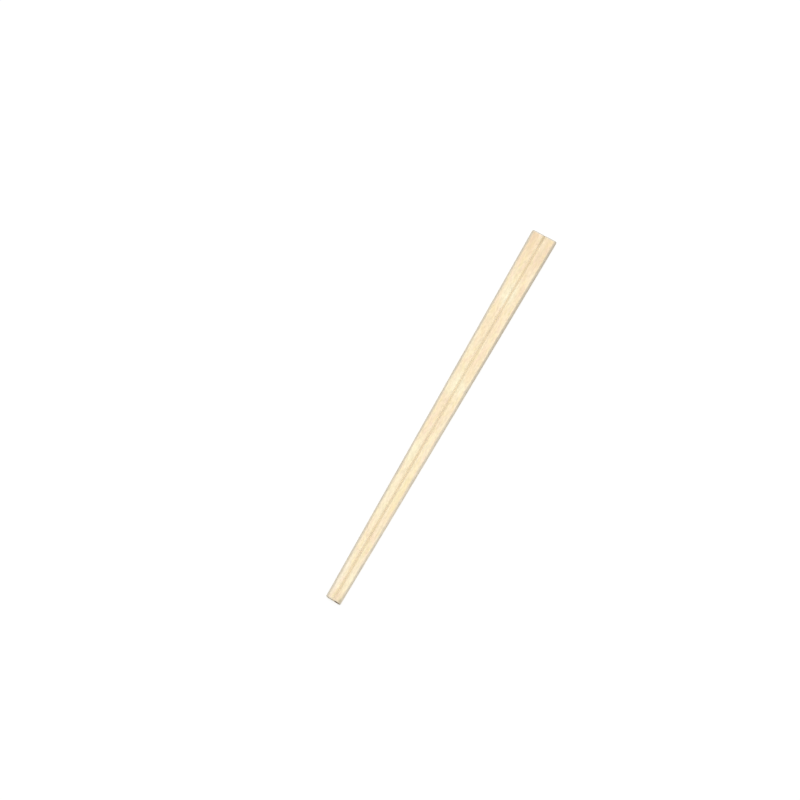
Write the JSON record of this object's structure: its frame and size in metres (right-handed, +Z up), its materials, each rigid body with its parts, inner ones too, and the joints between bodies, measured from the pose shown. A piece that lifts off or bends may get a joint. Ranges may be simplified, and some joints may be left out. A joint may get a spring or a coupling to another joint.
{
  "type": "disposable wooden chopsticks",
  "caption": "Snap-apart chopsticks in pale wood: a flat tapered blank with chamfered edges and a V-groove and split down the middle, still joined at the wide end.",
  "frame": {"origin": "on the surface the pair lies on, under the middle of its length and width", "axes": "+X along the pair from tip to head, +Y across both sticks, +Z up through the thickness"},
  "size_m": [0.203, 0.013, 0.0045],
  "materials": {
    "planed_aspen": "matte"
  },
  "bodies": {
    "root": {"joined_pair": "planed_aspen"}
  },
  "joints": []
}
